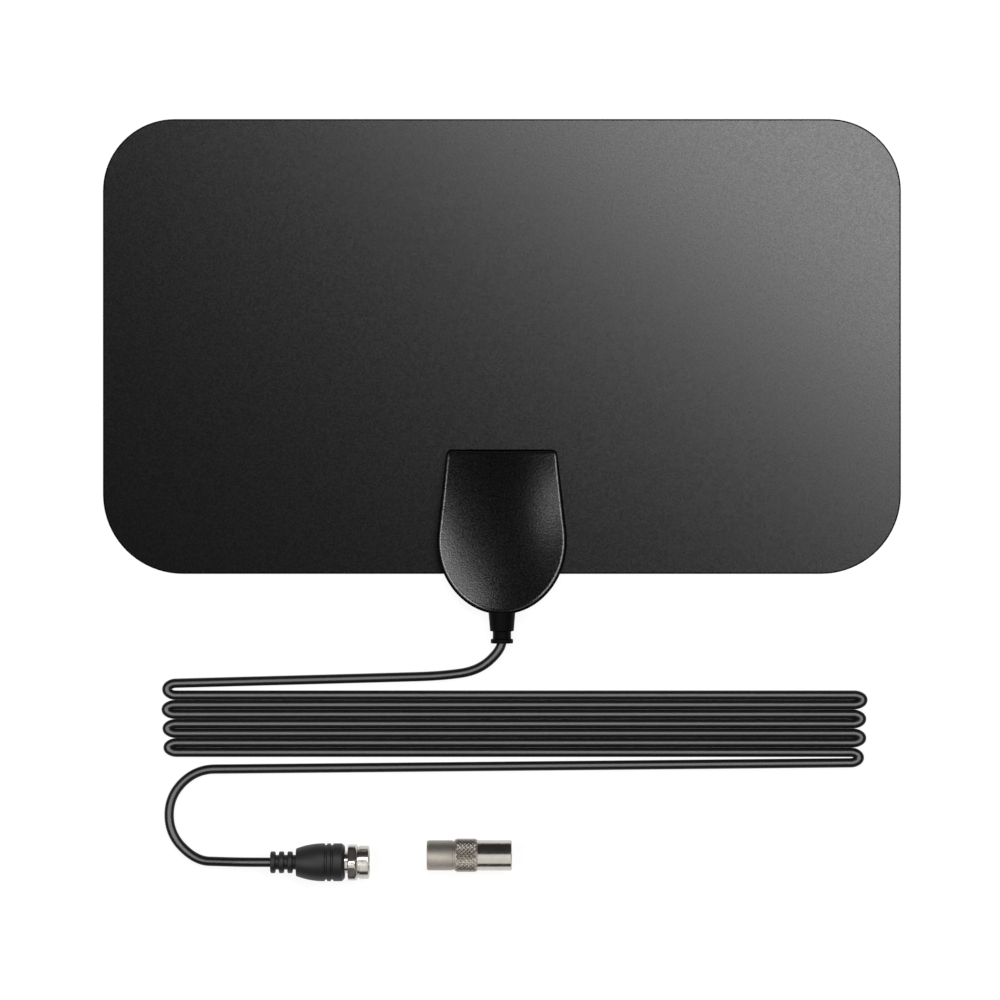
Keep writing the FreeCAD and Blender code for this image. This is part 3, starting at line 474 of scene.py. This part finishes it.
def merged(piece, *others):
    """Takes the meshes of other pieces into a piece, and removes those pieces."""
    body = bmesh.new()
    for part in (piece, *others):
        body.from_mesh(part.data)
    body.to_mesh(piece.data)
    body.free()
    for part in others:
        bpy.data.objects.remove(part)
    return piece


# Moulded PVC is dark grey with a matt grain, so that each lamp draws a broad soft band along it.
# Its grain is drawn at 0.4 mm, coarser than the real one, so that it shows at the render's scale.
moulded_grip = grained_plastic("moulded_grey_pvc", "#1d1d1e", "#262627", patch=4.0, grain=0.4, height=0.02,
                               roughness=0.5, spread=0.05, specular=0.4)
swell_end = GRIP_START + SWELL
grip_profile = [(TAIL_START + RIB_WIDTH / 2, 0), (TAIL_START + RIB_WIDTH / 2, RELIEF_CORE),
                (GRIP_START, RELIEF_CORE)]
for step in range(SWELL_STEPS + 1):
    share = step / SWELL_STEPS
    grip_profile.append((GRIP_START + SWELL * share,
                         GRIP_REAR + (GRIP_FULL - GRIP_REAR) * share + 4 * GRIP_BULGE * share * (1 - share)))
grip_profile.pop()
for number in range(GROOVES):
    start = swell_end + number * GROOVE_PITCH
    end = start + GROOVE_WIDTH
    floor = GRIP_FULL - GROOVE_DEPTH
    grip_profile += [(start, GRIP_FULL), (start, floor), (end, floor), (end, GRIP_FULL)]
grip_profile += [(GRIP_END - FRONT_EDGE, GRIP_FULL), (GRIP_END, GRIP_FULL - FRONT_EDGE),
                 (GRIP_END, SLEEVE_RADIUS), (SLEEVE_START, SLEEVE_RADIUS), (SLEEVE_START, 0)]
grip = turned("plug_grip_moulding", grip_profile, PLUG_AXIS, ALONG_X, moulded_grip)

ribs_tree, given = node_tree("relief_ribs", {
    "Count": "NodeSocketInt", "Pitch": "NodeSocketVector", "First": "NodeSocketVector",
    "Radius": "NodeSocketFloat", "Width": "NodeSocketFloat", "Height": "NodeSocketFloat",
    "Ease": "NodeSocketFloat", "Finish": "NodeSocketMaterial"})
places = add_node(ribs_tree, "GeometryNodeMeshLine", {
    "Count": given.outputs["Count"], "Start Location": given.outputs["First"],
    "Offset": given.outputs["Pitch"]})
circle = add_node(ribs_tree, "GeometryNodeCurvePrimitiveCircle", {
    "Resolution": TURN_STEPS, "Radius": given.outputs["Radius"]})
section = add_node(ribs_tree, "GeometryNodeCurvePrimitiveQuadrilateral", {
    "Width": given.outputs["Height"], "Height": given.outputs["Width"]})
eased = add_node(ribs_tree, "GeometryNodeFilletCurve", {
    "Curve": section.outputs[0], "Radius": given.outputs["Ease"], "Count": RIB_EASE_STEPS}, mode="POLY")
ring = add_node(ribs_tree, "GeometryNodeCurveToMesh", {
    "Curve": circle.outputs[0], "Profile Curve": eased.outputs[0]})
set_out = add_node(ribs_tree, "GeometryNodeInstanceOnPoints", {
    "Points": places.outputs[0], "Instance": ring.outputs[0], "Rotation": (0, math.pi / 2, 0)})
close_tree(ribs_tree, set_out.outputs[0], given.outputs["Finish"])
rib_pitch = (GRIP_START - TAIL_START) / RIBS
rib_depth = RIB_RADIUS - RELIEF_CORE + RIB_ROOT
ribs = grown("plug_relief_ribs", ribs_tree, {
    "Count": RIBS, "Pitch": (rib_pitch * MM, 0, 0), "Ease": RIB_EASE * MM, "Finish": moulded_grip,
    "First": (PLUG_AXIS + ALONG_X * (TAIL_START + RIB_WIDTH / 2)) * MM,
    "Radius": (RIB_RADIUS - rib_depth / 2) * MM, "Width": RIB_WIDTH * MM, "Height": rib_depth * MM})
rounded(merged(grip, ribs), GRIP_EDGE)
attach(grip, "antenna")
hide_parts("plug_grip")

# Plug sleeve and contact pin: turned brass, nickel plated, with the milky insulator between them.
# Nickel is a warm white metal; turned and barrel plated, it is bright with faint cloudy patches.
bright_nickel = bare_metal("bright_nickel_plate", "#b4afa8", "#cfcbc4", patch=3.0, low=0.15, high=0.25,
                           scratch=0.15)
dress(bright_nickel, "plug_sleeve", "plug_pin")
dress(milky_plastic, "plug_dielectric")

# Coupling nut: turned from brass hexagon bar and nickel plated, and free to spin on the plug's sleeve.
# The bar's corners are rounded off and chamfered in curves, and a waist parts the hexagon from a round
# collar. The bore has the 32-to-the-inch aerial thread.
NUT_START = -48.0
NUT_END = -41.4
NUT_BORE = 4.4
NUT_FLATS = 5.5
NUT_LIP = 3.53
NUT_LIP_END = -47.1
HEX_END = -45.0
HEX_RADIUS = 6.0
HEX_REAR_RADIUS = 5.7
HEX_REAR_STEP = 0.15
HEX_FRONT_STEP = 0.01
HEX_STEPS_TAKE = 0.16
HEX_STATIONS = 14
HEX_BLEND = 0.25
FRONT_CHAMFER = 0.9
FRONT_CHAMFER_DEPTH = 0.75
FRONT_CHAMFER_BOW = 1.6
REAR_CHAMFER = 0.4
REAR_CHAMFER_DEPTH = 0.3
WAIST_END = -44.4
WAIST_RADIUS = 4.9
COLLAR_RADIUS = 5.2
COLLAR_CHAMFER = 0.25
NUT_EDGE = 0.12
NUT_CREASE = 38
THREAD_PITCH = 25.4 / 32
NUT_TURNS = 5
NUT_THREAD_INSET = 0.5
NUT_THREAD_SINK = 0.05
NUT_THREAD_DEPTH = 0.34


def softer(a, b, blend):
    """The smaller of two radii, with the edge between them rounded."""
    share = max(0.0, min(1.0, 0.5 + (b - a) / (2 * blend)))
    return b + (a - b) * share - blend * share * (1 - share)


def hexagon(along, radius, angle):
    """Holds the outside of the hexagon's length to its six flats, a corner at the top."""
    if along > HEX_END - HEX_FRONT_STEP or radius <= NUT_BORE:
        return radius
    turn = (angle + math.pi / 6) % (math.pi / 3) - math.pi / 6
    flat = NUT_FLATS / math.cos(math.pi / 6 - abs(turn))
    return softer(flat, radius, HEX_BLEND)


nut_profile = [(NUT_START, NUT_LIP), (NUT_START, HEX_REAR_RADIUS)]
for step in range(HEX_STATIONS + 1):
    share = step / HEX_STATIONS
    along = NUT_START + HEX_REAR_STEP + (HEX_END - NUT_START - HEX_STEPS_TAKE) * share
    front = max(0.0, (along - (HEX_END - FRONT_CHAMFER)) / FRONT_CHAMFER)
    rear = max(0.0, 1 - (along - NUT_START) / REAR_CHAMFER)
    cut_back = FRONT_CHAMFER_DEPTH * front ** FRONT_CHAMFER_BOW
    nut_profile.append((along, HEX_RADIUS - cut_back - REAR_CHAMFER_DEPTH * rear ** 2))
nut_profile += [(HEX_END, WAIST_RADIUS), (WAIST_END, WAIST_RADIUS), (WAIST_END, COLLAR_RADIUS),
                (NUT_END - COLLAR_CHAMFER, COLLAR_RADIUS), (NUT_END, COLLAR_RADIUS - COLLAR_CHAMFER),
                (NUT_END, NUT_BORE), (NUT_LIP_END, NUT_BORE), (NUT_LIP_END, NUT_LIP)]
nut = turned("coupling_nut_turned", nut_profile, PLUG_AXIS, ALONG_X, bright_nickel, hexagon)

thread_tree, given = node_tree("screw_thread", {
    "Start": "NodeSocketVector", "Turns": "NodeSocketFloat", "Length": "NodeSocketFloat",
    "Radius": "NodeSocketFloat", "Depth": "NodeSocketFloat", "Finish": "NodeSocketMaterial"})
helix = add_node(thread_tree, "GeometryNodeCurveSpiral", {
    "Resolution": TURN_STEPS, "Rotations": given.outputs["Turns"], "Start Radius": given.outputs["Radius"],
    "End Radius": given.outputs["Radius"], "Height": given.outputs["Length"]})
upright = add_node(thread_tree, "GeometryNodeSetCurveNormal", {"Curve": helix.outputs[0]}, mode="Z_UP")
ridge = add_node(thread_tree, "GeometryNodeCurvePrimitiveCircle", {
    "Resolution": 4, "Radius": given.outputs["Depth"]})
wound = add_node(thread_tree, "GeometryNodeCurveToMesh", {
    "Curve": upright.outputs[0], "Profile Curve": ridge.outputs[0], "Fill Caps": True})
laid = add_node(thread_tree, "GeometryNodeTransform", {
    "Geometry": wound.outputs[0], "Translation": given.outputs["Start"], "Rotation": (0, math.pi / 2, 0)})
close_tree(thread_tree, laid.outputs[0], given.outputs["Finish"])
nut_thread = grown("nut_thread", thread_tree, {
    "Start": (PLUG_AXIS + ALONG_X * (NUT_END - NUT_THREAD_INSET - NUT_TURNS * THREAD_PITCH)) * MM,
    "Turns": float(NUT_TURNS), "Length": NUT_TURNS * THREAD_PITCH * MM,
    "Radius": (NUT_BORE + NUT_THREAD_SINK) * MM, "Depth": NUT_THREAD_DEPTH * MM, "Finish": bright_nickel})
rounded(merged(nut, nut_thread), NUT_EDGE, NUT_CREASE)
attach(nut, "nut")
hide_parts("coupling_nut")

# Adapter: one piece of turned brass, nickel plated, that lies loose beside the plug. The threaded jack takes
# the plug's nut, the band is diamond knurled for the fingers, and the smooth shell pushes into a television.
ADAPTER_AXIS = Vector((0, -159.0, 5.25))
JACK_END = -23.4
BAND_START = -14.7
BAND_END = -7.7
SHELL_END = 3.1
SHELL_FLOOR = -6.5
JACK_BORE = 3.1
JACK_ROOT = 4.66
JACK_LEAD_IN = 0.5
JACK_LEAD_IN_DEPTH = 0.25
JACK_TURNS = 9
JACK_THREAD_SINK = 0.24
JACK_THREAD_DEPTH = 0.33
UNDERCUT_WIDTH = 0.7
UNDERCUT_DEPTH = 0.15
SHELL_RADIUS = 4.75
SHELL_BORE = 4.15
SHELL_CHAMFER = 0.25
BAND_RADIUS = 5.25
BAND_CHAMFER = 0.3
BAND_CHAMFER_DEPTH = 0.35
KNURL_HEIGHT = 0.3
KNURL_SINK = 0.02
KNURL_TEETH = 24
KNURL_FLAT = 0.2
ADAPTER_EDGE = 0.14

# Left as it was turned, the plated jack is dull, with one broad soft sheen along it.
satin_nickel = bare_metal("satin_nickel_plate", "#a39c93", "#bfb8ae", patch=2.0, low=0.52, high=0.62,
                          scratch=0.12)

# On the knurl the plate is half bright, so that the teeth glint one by one.
cut_nickel = bare_metal("knurled_nickel_plate", "#a39c93", "#bfb8ae", patch=2.0, low=0.26, high=0.34,
                        scratch=0.12)

undercut_start = BAND_START - UNDERCUT_WIDTH
body_profile = [(JACK_END, JACK_BORE), (JACK_END, JACK_ROOT - JACK_LEAD_IN_DEPTH),
                (JACK_END + JACK_LEAD_IN, JACK_ROOT), (undercut_start, JACK_ROOT),
                (undercut_start, JACK_ROOT - UNDERCUT_DEPTH), (BAND_START, JACK_ROOT - UNDERCUT_DEPTH),
                (BAND_START, BAND_RADIUS - BAND_CHAMFER_DEPTH),
                (BAND_START + BAND_CHAMFER, BAND_RADIUS - KNURL_HEIGHT),
                (BAND_END - BAND_CHAMFER, BAND_RADIUS - KNURL_HEIGHT),
                (BAND_END, BAND_RADIUS - BAND_CHAMFER_DEPTH), (BAND_END, SHELL_RADIUS),
                (SHELL_END - SHELL_CHAMFER, SHELL_RADIUS), (SHELL_END, SHELL_RADIUS - SHELL_CHAMFER),
                (SHELL_END, SHELL_BORE), (SHELL_FLOOR, SHELL_BORE), (SHELL_FLOOR, JACK_BORE)]
adapter = turned("adapter_turned_body", body_profile, ADAPTER_AXIS, ALONG_X, bright_nickel)

knurl_tree, given = node_tree("diamond_knurl", {
    "Start": "NodeSocketFloat", "Rows": "NodeSocketInt", "Teeth": "NodeSocketInt",
    "Radius": "NodeSocketFloat", "Height": "NodeSocketFloat", "Half Pitch": "NodeSocketFloat",
    "Flat": "NodeSocketFloat", "Centre": "NodeSocketVector", "Finish": "NodeSocketMaterial"})

# Tooth number n stands in row n / teeth, and every second row is turned by half a tooth.
count = add_node(knurl_tree, "ShaderNodeMath", {0: given.outputs["Rows"], 1: given.outputs["Teeth"]},
                 operation="MULTIPLY")
points = add_node(knurl_tree, "GeometryNodePoints", {"Count": count.outputs[0]})
index = add_node(knurl_tree, "GeometryNodeInputIndex")
rows_done = add_node(knurl_tree, "ShaderNodeMath", {0: index.outputs[0], 1: given.outputs["Teeth"]},
                     operation="DIVIDE")
row = add_node(knurl_tree, "ShaderNodeMath", {0: rows_done.outputs[0]}, operation="FLOOR")
row_share = add_node(knurl_tree, "ShaderNodeMath", {0: rows_done.outputs[0]}, operation="FRACT")
odd = add_node(knurl_tree, "ShaderNodeMath", {0: row.outputs[0], 1: 2.0}, operation="MODULO")
half_tooth = add_node(knurl_tree, "ShaderNodeMath", {0: odd.outputs[0], 1: 2.0}, operation="DIVIDE")
shifted = add_node(knurl_tree, "ShaderNodeMath", {0: half_tooth.outputs[0], 1: given.outputs["Teeth"]},
                   operation="DIVIDE")
turns = add_node(knurl_tree, "ShaderNodeMath", {0: row_share.outputs[0], 1: shifted.outputs[0]},
                 operation="ADD")
angle = add_node(knurl_tree, "ShaderNodeMath", {0: turns.outputs[0], 1: 2 * math.pi}, operation="MULTIPLY")
sine = add_node(knurl_tree, "ShaderNodeMath", {0: angle.outputs[0]}, operation="SINE")
cosine = add_node(knurl_tree, "ShaderNodeMath", {0: angle.outputs[0]}, operation="COSINE")
outward = add_node(knurl_tree, "ShaderNodeCombineXYZ", {1: cosine.outputs[0], 2: sine.outputs[0]})
reach = add_node(knurl_tree, "ShaderNodeVectorMath", {0: outward.outputs[0], 3: given.outputs["Radius"]},
                 operation="SCALE")
along = add_node(knurl_tree, "ShaderNodeMath", {
    0: row.outputs[0], 1: given.outputs["Half Pitch"], 2: given.outputs["Start"]}, operation="MULTIPLY_ADD")
forward = add_node(knurl_tree, "ShaderNodeCombineXYZ", {0: along.outputs[0]})
ringed = add_node(knurl_tree, "ShaderNodeVectorMath", {0: reach.outputs[0], 1: forward.outputs[0]},
                  operation="ADD")
placed = add_node(knurl_tree, "ShaderNodeVectorMath", {0: ringed.outputs[0], 1: given.outputs["Centre"]},
                  operation="ADD")
scattered = add_node(knurl_tree, "GeometryNodeSetPosition", {
    "Geometry": points.outputs[0], "Position": placed.outputs[0]})
flat = add_node(knurl_tree, "ShaderNodeMath", {0: given.outputs["Half Pitch"], 1: given.outputs["Flat"]},
                operation="MULTIPLY")
tooth = add_node(knurl_tree, "GeometryNodeMeshCone", {
    "Vertices": 4, "Radius Top": flat.outputs[0], "Radius Bottom": given.outputs["Half Pitch"],
    "Depth": given.outputs["Height"]})
facing = add_node(knurl_tree, "FunctionNodeAlignRotationToVector", {"Vector": outward.outputs[0]}, axis="Z",
                  pivot_axis="X")
set_out = add_node(knurl_tree, "GeometryNodeInstanceOnPoints", {
    "Points": scattered.outputs[0], "Instance": tooth.outputs[0], "Rotation": facing.outputs[0]})
close_tree(knurl_tree, set_out.outputs[0], given.outputs["Finish"])
half_pitch = math.pi * (BAND_RADIUS - KNURL_HEIGHT) / KNURL_TEETH
rows = int((BAND_END - BAND_START - 2 * BAND_CHAMFER) / half_pitch)
first_row = (BAND_START + BAND_END) / 2 - (rows - 1) * half_pitch / 2
knurl = grown("adapter_knurl", knurl_tree, {
    "Start": first_row * MM, "Rows": rows, "Teeth": KNURL_TEETH, "Flat": KNURL_FLAT,
    "Radius": (BAND_RADIUS - KNURL_HEIGHT - KNURL_SINK) * MM, "Height": KNURL_HEIGHT * MM,
    "Half Pitch": half_pitch * MM, "Centre": ADAPTER_AXIS * MM, "Finish": cut_nickel})
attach(knurl, "antenna")

jack_thread = grown("adapter_jack_thread", thread_tree, {
    "Start": (ADAPTER_AXIS + ALONG_X * (JACK_END + JACK_LEAD_IN)) * MM, "Turns": float(JACK_TURNS),
    "Length": JACK_TURNS * THREAD_PITCH * MM, "Radius": (JACK_ROOT - JACK_THREAD_SINK) * MM,
    "Depth": JACK_THREAD_DEPTH * MM, "Finish": satin_nickel})
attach(jack_thread, "antenna")
rounded(adapter, ADAPTER_EDGE)
adapter.data.materials.append(satin_nickel)
for face in adapter.data.polygons:
    face.material_index = int(face.center.x < BAND_END * MM)
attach(adapter, "antenna")
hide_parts("adapter_body")
dress(bright_nickel, "adapter_pin")
dress(milky_plastic, "jack_insulator")

# Pressed phenolic is brownish black, with little shine.
black_phenolic = grained_plastic("black_phenolic", "#0c0b0a", "#141210", patch=2.0, grain=0.3, height=0.01,
                                 roughness=0.5, spread=0.05, specular=0.4)
dress(black_phenolic, "shell_insulator")

# Studio: a white table and softboxes. The key's blurred image lies on the panel's upper right corner, and
# three more light the housing's face. The rest are flagged for one job each: the housing's rounded edge,
# the cable's highlight, the metal, and the film's sheen as it is seen from the sides.
FRAME_WIDTH = 0.31328
FRAME_CENTRE = (-0.0006, -0.0481)
LENS = 135.0
SENSOR = 36.0
TABLE_SIZE = 8.0
TABLE_GLOW = 1.1
TABLE_GLOW_SHARE = 0.8
ROOM_GLOW = 0.04
PANEL_MIDDLE = (0, 0, 0)
HOUSING_FOOT = (0, -0.058, 0)
HOUSING_EDGE = (0, -0.058, 0.008)
CABLE_MIDDLE = (-0.02, -0.12, 0.0)
METAL_MIDDLE = (-0.03, -0.159, 0.0)
KNURL_MIDDLE = (-0.011, -0.159, 0.005)
WINDOW_AWAY = 0.95
WINDOW_HIGH = 0.45

bpy.ops.mesh.primitive_plane_add(size=TABLE_SIZE)
table = bpy.context.object
table.name = "table"

# Matt white paint. The camera and reflections see it as clean white, and it keeps the object's soft shadow.
white_table = bpy.data.materials.new("white_table")
white_table.use_nodes = True
tree = white_table.node_tree
tree.nodes.clear()
light_path = add_node(tree, "ShaderNodeLightPath")
seen = add_node(tree, "ShaderNodeMath", {0: light_path.outputs["Is Camera Ray"],
                                         1: light_path.outputs["Is Glossy Ray"]}, operation="MAXIMUM")
seen_through = add_node(tree, "ShaderNodeMath", {
    0: seen.outputs[0], 1: light_path.outputs["Is Transmission Ray"]}, operation="MAXIMUM")
glow_share = add_node(tree, "ShaderNodeMath", {0: seen_through.outputs[0], 1: TABLE_GLOW_SHARE},
                      operation="MULTIPLY")
paint = add_node(tree, "ShaderNodeBsdfDiffuse", {"Color": colour("#f4f4f4")})
glow = add_node(tree, "ShaderNodeEmission", {"Color": colour("#ffffff"), "Strength": TABLE_GLOW})
both = add_node(tree, "ShaderNodeMixShader", {0: glow_share.outputs[0], 1: paint.outputs[0],
                                              2: glow.outputs[0]})
add_node(tree, "ShaderNodeOutputMaterial", {"Surface": both.outputs[0]})
table.data.materials.append(white_table)


def softbox(name, place, aim, size, radiance, state, pieces, turn=0):
    """A rectangular lamp that shines from a place towards a point, turned about that line by some degrees.

    It lights only the given pieces (INCLUDE), or all but those (EXCLUDE).
    """
    lamp = bpy.data.lights.new(name, "AREA")
    lamp.shape = "RECTANGLE"
    lamp.size, lamp.size_y = size
    lamp.energy = radiance * math.pi * size[0] * size[1]
    box = bpy.data.objects.new(name, lamp)
    bpy.context.scene.collection.objects.link(box)
    box.location = place
    facing = (Vector(aim) - Vector(place)).to_track_quat("-Z", "Y")
    box.rotation_euler = (facing @ Quaternion((0, 0, 1), math.radians(turn))).to_euler()
    box.visible_camera = False
    group = bpy.data.collections.new(name + "_pieces")
    for piece in pieces:
        group.objects.link(piece)
    for member in group.collection_objects:
        member.light_linking.link_state = state
    box.light_linking.receiver_collection = group


housing = [nodes["front_cover"], nodes["rear_cover"]]
smooth_metal = [adapter, jack_thread, nodes["adapter_pin"]]
metal = smooth_metal + [knurl, nut, nodes["plug_sleeve"], nodes["plug_pin"]]
softbox("key_softbox", (0.177, 0.191, 0.95), PANEL_MIDDLE, (0.92, 0.17), 11.4, "EXCLUDE",
        housing + smooth_metal + [knurl], turn=3)
softbox("right_softbox", (0.43, 0.125, 0.59), HOUSING_FOOT, (0.08, 0.34), 6.5, "EXCLUDE", [front_film])
softbox("left_softbox", (-0.334, -0.206, 0.603), HOUSING_FOOT, (0.48, 0.18), 5.6, "EXCLUDE", [front_film],
        turn=38)
softbox("upper_left_softbox", (-0.50, -0.03, 0.557), HOUSING_FOOT, (0.16, 0.16), 5.0, "EXCLUDE", [front_film])
softbox("right_rim", (0.64, -0.15, 0.19), HOUSING_EDGE, (1.00, 0.32), 9.0, "INCLUDE", housing)
softbox("left_rim", (-0.60, -0.31, 0.19), HOUSING_EDGE, (1.10, 0.32), 12.0, "INCLUDE", housing)
softbox("cable_softbox", (-0.02, -0.12, 0.50), CABLE_MIDDLE, (0.80, 0.46), 15.0, "INCLUDE", [jacket])
for name, side in (("back", (0, 1)), ("right", (1, 0)), ("front", (0, -1)), ("left", (-1, 0))):
    softbox(name + "_window", (WINDOW_AWAY * side[0], WINDOW_AWAY * side[1], WINDOW_HIGH), PANEL_MIDDLE,
            (1.5, 0.66), 0.7, "INCLUDE", [front_film])
softbox("metal_softbox", (-0.03, -0.36, 0.46), METAL_MIDDLE, (0.70, 0.72), 1.0, "INCLUDE", metal)
softbox("knurl_softbox", (0.5, -0.16, 0.17), KNURL_MIDDLE, (0.50, 0.30), 3.0, "INCLUDE", [knurl])

# The room gives the camera a white background and the object only a faint light from all round.
world = bpy.data.worlds.new("studio")
bpy.context.scene.world = world
world.use_nodes = True
tree = world.node_tree
tree.nodes.clear()
light_path = add_node(tree, "ShaderNodeLightPath")
strength = add_node(tree, "ShaderNodeMapRange", {
    "Value": light_path.outputs["Is Camera Ray"], "To Min": ROOM_GLOW, "To Max": 1.0})
room = add_node(tree, "ShaderNodeBackground", {"Color": colour("#ffffff"), "Strength": strength.outputs[0]})
add_node(tree, "ShaderNodeOutputWorld", {"Surface": room.outputs[0]})

camera_data = bpy.data.cameras.new("camera")
camera_data.lens = LENS
camera_data.sensor_width = SENSOR
camera = bpy.data.objects.new("camera", camera_data)
bpy.context.scene.collection.objects.link(camera)
camera.location = (*FRAME_CENTRE, FRAME_WIDTH * LENS / SENSOR + FILM_FRONT * MM)
bpy.context.scene.camera = camera
bpy.context.scene.view_settings.view_transform = "Standard"
